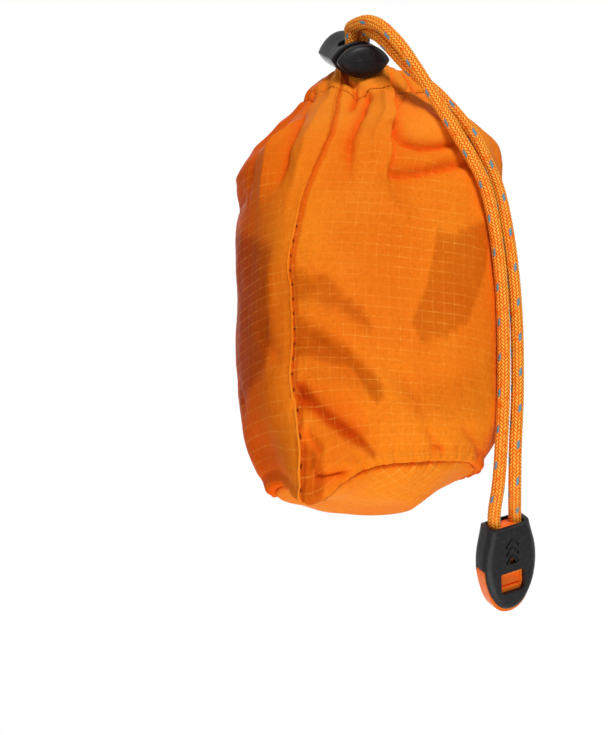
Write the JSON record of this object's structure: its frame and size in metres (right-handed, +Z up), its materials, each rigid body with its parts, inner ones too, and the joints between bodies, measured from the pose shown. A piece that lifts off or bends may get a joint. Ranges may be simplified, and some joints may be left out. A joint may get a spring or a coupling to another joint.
{
  "type": "emergency sleeping bag packed in a drawstring stuff sack",
  "caption": "Emergency bivvy packed in a small drawstring ripstop stuff sack, closed by an oval spring cord lock, with a paracord pull that ends in a flat whistle.",
  "frame": {"origin": "middle of the flat part of the sack's base", "axes": "+Z up along the sack to its gathered mouth, +X to the right and +Y away from the viewer as pictured; the cord lock is at the front left of the mouth and the whistle hangs at the right"},
  "size_m": [0.0956, 0.0758, 0.1846],
  "materials": {
    "ripstop_nylon": "thin orange ripstop nylon, slightly translucent, satin",
    "ripstop_nylon_base": "thin orange ripstop nylon cut on the bias, satin",
    "seam_nylon": "folded and stitched orange nylon",
    "orange_paracord": "braided orange cord with grey-blue reflective tracer",
    "black_plastic": "fine-grained black moulded plastic",
    "orange_plastic": "orange moulded plastic, semi-matt",
    "spring_steel": "bright drawn wire",
    "bivvy_film": "folded orange polyethylene film with a reflective inside"
  },
  "bodies": {
    "sack": {"sack_body": "ripstop_nylon", "sack_base": "ripstop_nylon_base", "side_seam": "seam_nylon", "base_seam_binding": "seam_nylon", "drawcord_hem": "ripstop_nylon", "drawcord_loop": "orange_paracord", "cord_strand_outer": "orange_paracord", "cord_strand_inner": "orange_paracord", "lock_barrel": "black_plastic", "lock_spring": "spring_steel", "bivvy_bundle": "bivvy_film"},
    "plunger": {"lock_plunger": "black_plastic"},
    "whistle": {"whistle_shell": "black_plastic", "whistle_core": "orange_plastic", "whistle_cord_ends": "orange_paracord"}
  },
  "joints": [
    {"name": "lock_press", "type": "slide", "parent": "sack", "child": "plunger", "axis": [-0.3351, 0.8003, 0.4972], "range_m": [0, 0.003], "stiffness_N_per_m": 900, "springref_m": -0.002, "deforming": ["lock_spring"]},
    {"name": "whistle_tilt", "type": "hinge", "parent": "sack", "child": "whistle", "pos_m": [0.0422, 0.006, -0.0034], "axis": [0.8812, 0.3322, 0.3364], "range_deg": [-25, 25], "stiffness_Nm_per_rad": 0.0005}
  ]
}
